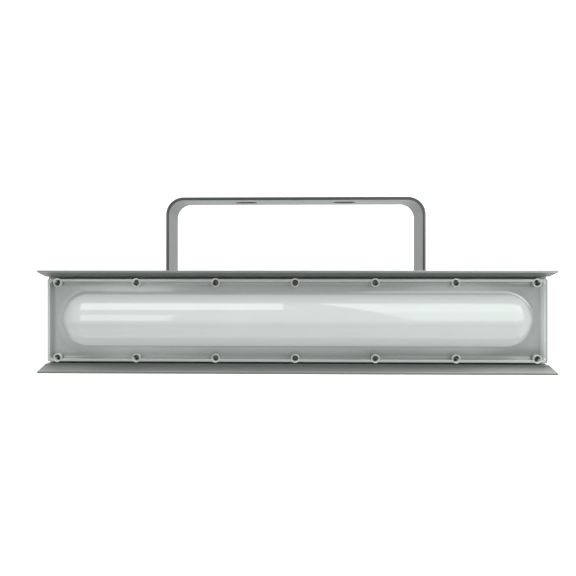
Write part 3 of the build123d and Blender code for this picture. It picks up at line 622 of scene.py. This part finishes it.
def screw_tree():
    """Socket-head screws on loose points: a turned, knurled head with a hexagon socket, and its shank."""
    graph, given = geometry_tree("socket_screws", {
        "Seats": "Geometry", "Thread": "Float", "Head Width": "Float", "Head Height": "Float",
        "Edge Round": "Float", "Socket Width": "Float", "Socket Depth": "Float", "Shank": "Float",
        "Knurls": "Int", "Knurl Depth": "Float", "Facing": "Vector", "Seed": "Int", "Finish": "Material"})
    ring = 1 * MM
    axis_weld = 2e-5
    side_margin = 0.02 * MM
    rim_corner = 1.0
    radius = given["Head Width"] / 2
    height = given["Head Height"]
    corners = {
        "Point 1": graph.vector(-ring, -height),
        "Point 2": graph.vector(radius - ring, -height),
        "Point 3": graph.vector(radius - ring, 0.0),
        "Point 4": graph.vector(-ring, 0.0)}
    outline = graph.node("GeometryNodeCurvePrimitiveQuadrilateral", {"mode": "POINTS"}, corners)
    index = graph.node("GeometryNodeInputIndex")
    at_rim = graph.math("COMPARE", index, rim_corner, 0.1)
    outline = graph.node("GeometryNodeFilletCurve", {"mode": "POLY"},
                         {"Curve": outline, "Count": 4, "Radius": at_rim * given["Edge Round"]})
    outline = graph.node("GeometryNodeSetSplineCyclic", inputs={"Geometry": outline, "Cyclic": False})
    path = graph.node("GeometryNodeCurvePrimitiveCircle", {"mode": "RADIUS"},
                      {"Resolution": given["Knurls"] * 2, "Radius": ring})
    head = graph.node("GeometryNodeCurveToMesh", inputs={"Curve": path, "Profile Curve": outline})
    head = graph.node("GeometryNodeMergeByDistance", inputs={"Geometry": head, "Distance": axis_weld})

    place = graph.node("GeometryNodeInputPosition")
    split = graph.node("ShaderNodeSeparateXYZ", inputs={"Vector": place}, output="X")
    x, y, _ = (Wire(graph, socket) for socket in split.socket.node.outputs)
    reach = graph.length(x, y)
    wave = 0.5 - 0.5 * graph.math("COSINE", graph.math("ARCTAN2", y, x) * given["Knurls"])
    on_side = graph.math("GREATER_THAN", reach, radius - side_margin)
    press = -(wave * on_side * given["Knurl Depth"] / radius)
    head = graph.node("GeometryNodeSetPosition",
                      inputs={"Geometry": head, "Offset": graph.vector(x * press, y * press, 0.0)})

    across_corners = given["Socket Width"] / cos(pi / 6)
    socket = graph.node("GeometryNodeMeshCylinder", {"fill_type": "NGON"}, {
        "Vertices": 6, "Radius": across_corners / 2, "Depth": given["Socket Depth"] * 2})
    socket = graph.node("GeometryNodeTransform",
                        inputs={"Geometry": socket, "Translation": graph.vector(0.0, 0.0, height)})
    head = graph.node("GeometryNodeMeshBoolean", {"operation": "DIFFERENCE", "solver": "EXACT"},
                      {"Mesh 1": head, "Mesh 2": socket})
    shank = graph.node("GeometryNodeMeshCylinder", {"fill_type": "NGON"}, {
        "Vertices": 24, "Radius": given["Thread"] / 2, "Depth": given["Shank"]})
    shank = graph.node("GeometryNodeTransform", inputs={
        "Geometry": shank, "Translation": graph.vector(0.0, 0.0, given["Shank"] * -0.5)})
    screw = graph.node("GeometryNodeJoinGeometry", inputs={"Geometry": [head, shank]})
    return close_tree(graph, placed(graph, given, screw), given["Finish"])


def washer_tree():
    """Split spring washers on loose points."""
    graph, given = geometry_tree("spring_washers", {
        "Seats": "Geometry", "Inner Width": "Float", "Outer Width": "Float", "Thickness": "Float",
        "Split Angle": "Float", "Facing": "Vector", "Seed": "Int", "Finish": "Material"})
    middle = (given["Inner Width"] + given["Outer Width"]) / 4
    wire = (given["Outer Width"] - given["Inner Width"]) / 2
    sweep = 2 * pi - given["Split Angle"]
    corner_share = 0.12
    ring = graph.node("GeometryNodeCurveArc", {"mode": "RADIUS"}, {
        "Resolution": 48, "Radius": middle, "Start Angle": 0.0, "Sweep Angle": sweep})
    bar = graph.node("GeometryNodeCurvePrimitiveQuadrilateral", {"mode": "RECTANGLE"},
                     {"Width": wire, "Height": given["Thickness"]})
    bar = graph.node("GeometryNodeFilletCurve", {"mode": "POLY"},
                     {"Curve": bar, "Count": 2, "Radius": given["Thickness"] * corner_share})
    washer = graph.node("GeometryNodeCurveToMesh",
                        inputs={"Curve": ring, "Profile Curve": bar, "Fill Caps": True})
    washer = graph.node("GeometryNodeTransform", inputs={
        "Geometry": washer, "Translation": graph.vector(0.0, 0.0, given["Thickness"] * 0.5)})
    return close_tree(graph, placed(graph, given, washer), given["Finish"])


def section_tree():
    """An extrusion along X from a closed section in Y and Z, whose points marked tip are rounder."""
    graph, given = geometry_tree("extruded_section", {
        "Section": "Geometry", "Length": "Float", "Edge Round": "Float", "Tip Round": "Float",
        "Finish": "Material"})
    outline = graph.node("GeometryNodeMeshToCurve", inputs={"Mesh": given["Section"]})
    tip = graph.node("GeometryNodeInputNamedAttribute", {"data_type": "FLOAT"},
                     {"Name": "tip"}, "Attribute")
    radius = given["Edge Round"] + (given["Tip Round"] - given["Edge Round"]) * tip
    outline = graph.node("GeometryNodeFilletCurve", {"mode": "POLY"}, {
        "Curve": outline, "Count": 4, "Radius": radius, "Limit Radius": True})
    half = given["Length"] / 2
    path = graph.node("GeometryNodeCurvePrimitiveLine", {"mode": "POINTS"},
                      {"Start": graph.vector(0.0, 0.0, -half), "End": graph.vector(0.0, 0.0, half)})
    bar = graph.node("GeometryNodeCurveToMesh",
                     inputs={"Curve": path, "Profile Curve": outline, "Fill Caps": True})
    bar = graph.node("GeometryNodeTransform", inputs={"Geometry": bar, "Rotation": (pi / 2, 0.0, pi / 2)})
    return close_tree(graph, bar, given["Finish"])


def section(points, tips):
    """A closed loop of edges, with its rounder points marked."""
    mesh = bpy.data.meshes.new("section")
    edges = [(i, (i + 1) % len(points)) for i in range(len(points))]
    mesh.from_pydata([(y, z, 0.0) for y, z in points], edges, [])
    mark = mesh.attributes.new("tip", "FLOAT", "POINT")
    for i in tips:
        mark.data[i].value = 1.0
    return mesh


def housing_section():
    """The extrusion's section: rails, channel and wings in front of the web, fins and spine behind it."""
    channel = lens_high.z - pivot.z + groove_gap
    wall = channel + wing_wall
    rail = channel - rail_width
    wing_rise = wing_reach * tan(wing_splay)
    wing_skin = wing_wall / cos(wing_splay)
    web_front = seat + chamber_depth
    web_back = web_front + web_thickness
    back = housing_high.y
    upper = [(web_front, rail), (seat, rail), (seat, channel), (rim_plane, channel),
             (wing_tip, channel + wing_rise), (wing_tip, channel + wing_rise + wing_skin),
             (rim_plane, channel + wing_skin), (rim_plane + wing_wall, wall)]
    step = (wall - spine_width / 2) / fins_per_side
    for index in range(fins_per_side):
        top = wall - step * index
        under = top - fin_thickness
        upper += [(back, top), (back, under), (web_back, under), (web_back, top - step)]
    upper.append((back, spine_width / 2))
    points = [(y, pivot.z + z) for y, z in upper] + [(y, pivot.z - z) for y, z in reversed(upper)]
    wing_tips = (4, 5)
    return section(points, [*wing_tips, *(len(points) - 1 - i for i in wing_tips)])


def lens_screw_seats(level):
    step, row = lens_screw_grid()
    first = -step * (lens_screw_columns - 1) / 2
    return [(first + step * i, level, pivot.z + z) for z in (-row, row) for i in range(lens_screw_columns)]


TOWARDS_FRONT = (pi / 2, 0.0, 0.0)
TOWARDS_BACK = (-pi / 2, 0.0, 0.0)
TOWARDS_RIGHT = (0.0, pi / 2, 0.0)

coat_frame()
socket_screws = screw_tree()
spring_washers = washer_tree()

housing = grown(
    "housing_profile", housing_section(), section_tree(), length=housing_high.x - housing_low.x,
    edge_round=extrusion_edge, tip_round=wing_tip_round, finish=finishes["housing_paint"])
stands_for(housing, "lamp", "housing_extrusion")

cover = evened("milky_cover", "lens_cover")
stands_for(cover, "lamp", "lens_cover")

lens_washer = spring_washer_share * lens_thread
screws = grown(
    "lens_socket_screws", seats(lens_screw_seats(bore_floor - lens_washer)), socket_screws,
    thread=lens_thread, head_width=7 * MM, head_height=4 * MM, edge_round=0.32 * MM,
    socket_width=3.3 * MM, socket_depth=2.2 * MM, shank=13.5 * MM, knurls=32, knurl_depth=0.1 * MM,
    facing=TOWARDS_FRONT, seed=3, finish=finishes["black_steel"])
stands_for(screws, "lamp", "lens_screws")
washers = grown(
    "lens_split_washers", seats(lens_screw_seats(bore_floor)), spring_washers,
    inner_width=4.3 * MM, outer_width=6.6 * MM, thickness=lens_washer, split_angle=radians(12),
    facing=TOWARDS_FRONT, seed=5, finish=finishes["black_steel"])
stands_for(washers, "lamp", "lens_spring_washers")


def cover_screw_seats():
    """Seats on the back of the rear cover, read from the screws' own box."""
    head = cover_head_width / 2
    columns = [cover_screws_low.x + head, cover_screws_high.x - head]
    rows = (cover_screws_low.z + head, cover_screws_high.z - head)
    step = (columns[1] - columns[0]) / (cover_screw_columns - 1)
    level = cover_screws_high.y - cover_thread
    return [(columns[0] + step * i, level, z) for z in rows for i in range(cover_screw_columns)]


rear_screws = grown(
    "rear_socket_screws", seats(cover_screw_seats()), socket_screws,
    thread=cover_thread, head_width=cover_head_width, head_height=5 * MM, edge_round=0.4 * MM,
    socket_width=4 * MM, socket_depth=2.7 * MM, shank=18 * MM, knurls=36, knurl_depth=0.1 * MM,
    facing=TOWARDS_BACK, seed=8, finish=finishes["stainless"])
stands_for(rear_screws, "lamp", "rear_cover_screws")

pivot_washer = spring_washer_share * pivot_thread
pivot_split = grown(
    "pivot_split_washers",
    seats([(pivot_washers_low.x, 0.0, pivot.z), (pivot_washers_high.x - pivot_washer, 0.0, pivot.z)]),
    spring_washers, inner_width=10.3 * MM, outer_width=16.5 * MM, thickness=pivot_washer,
    split_angle=radians(10), facing=TOWARDS_RIGHT, seed=2, finish=finishes["stainless"])
stands_for(pivot_split, "lamp", "pivot_spring_washers")


studio_tint = (0.955, 1.0, 0.98)
lamp_face = Vector((0.0, -80 * MM, pivot.z))


def studio():
    """Pale floor that curves up into a wall behind the lamp."""
    floor_z = -0.62
    wall_y = 1.5
    wall_top = 6.0
    front_y = -4.0
    half = 10.0
    bend = 0.6
    bend_steps = 16
    lit_from = (-1.2, -0.65)
    turns = [pi / 2 * i / bend_steps for i in range(bend_steps + 1)]
    line = [(front_y, floor_z)]
    line += [(wall_y - bend + bend * sin(turn), floor_z + bend * (1 - cos(turn))) for turn in turns]
    line.append((wall_y, wall_top))
    points = [(x, y, z) for y, z in line for x in (-half, half)]
    faces = [(2 * i, 2 * i + 1, 2 * i + 3, 2 * i + 2) for i in range(len(line) - 1)]
    mesh = bpy.data.meshes.new("studio_sweep")
    mesh.from_pydata(points, [], faces)
    pale = Finish("studio_white")
    _, y, _ = pale.parts()
    far = pale.ramp(y, *lit_from)
    mesh.materials.append(pale.done(
        Base_Color=rgb(0.9, 0.9, 0.9), Roughness=0.9,
        Emission_Color=pale.mix(far, rgb(0.1, 0.1, 0.1), rgb(*studio_tint)), Emission_Strength=0.45))
    for polygon in mesh.polygons:
        polygon.use_smooth = True
    sweep = bpy.data.objects.new("studio_sweep", mesh)
    bpy.context.scene.collection.objects.link(sweep)


def panel(name, low, high, width, glow):
    """A soft light that hangs between a low and a high point and spreads sideways, turned to the lamp."""
    low, high = Vector(low), Vector(high)
    up = (high - low).normalized()
    away = (low + high) / 2 - lamp_face
    away = (away - up * up.dot(away)).normalized()
    side = up.cross(away)
    middle = (low + high) / 2 + side * width / 2
    data = bpy.data.lights.new(name, "AREA")
    data.shape = "RECTANGLE"
    data.size = abs(width)
    data.size_y = (high - low).length
    data.energy = glow * pi * data.size * data.size_y
    data.color = studio_tint
    holder = bpy.data.objects.new(name, data)
    holder.matrix_world = Matrix.Translation(middle) @ Matrix((side, up, away)).transposed().to_4x4()
    holder.visible_camera = False
    bpy.context.scene.collection.objects.link(holder)


def room_light(strength):
    world = bpy.data.worlds.new("room")
    world.use_nodes = True
    graph = Graph(world.node_tree)
    glow = graph.node("ShaderNodeBackground", inputs={"Color": rgb(*studio_tint), "Strength": strength})
    graph.node("ShaderNodeOutputWorld", inputs={"Surface": glow})
    bpy.context.scene.world = world


def photo_camera():
    """Camera where the photograph was taken, just above the lamp's middle and a little turned."""
    photo_pixels = 576
    focal_pixels = 495.1
    axis_pixels = (286.5, 269.0)
    data = bpy.data.cameras.new("photo_camera")
    data.sensor_width = 36.0
    data.lens = focal_pixels * data.sensor_width / photo_pixels
    data.shift_x = 0.5 - axis_pixels[0] / photo_pixels
    data.shift_y = axis_pixels[1] / photo_pixels - 0.5
    data.clip_start = 0.01
    camera = bpy.data.objects.new("photo_camera", data)
    camera.location = (1.0 * MM, -674.7 * MM, -94.5 * MM)
    camera.rotation_euler = (pi / 2, 0.0, radians(1.1))
    bpy.context.scene.collection.objects.link(camera)
    bpy.context.scene.camera = camera


studio()
room_light(strength=0.2)
panel("panel_right_low", (0.41, -1.28, -0.16), (0.259, -0.923, 0.39), width=1.6, glow=1.95)
panel("panel_right_high", (0.259, -0.923, 0.39), (0.05, -0.43, 1.15), width=1.6, glow=3.15)
panel("panel_upper_left", (-0.04, -0.86, 0.60), (-0.04, -0.19, 0.83), width=-0.75, glow=3.6)
panel("panel_lower_left", (-0.48, -1.38, -0.20), (-0.48, -1.38, 0.33), width=-0.36, glow=2.6)
panel("panel_overhead", (-1.3, -1.5, 0.75), (-1.3, -0.30, 1.45), width=2.6, glow=0.5)
panel("ceiling_panel", (-1.3, -0.38, 1.5), (-1.3, 0.9, 1.5), width=2.6, glow=2.8)
photo_camera()
bpy.context.scene.view_settings.view_transform = "Standard"
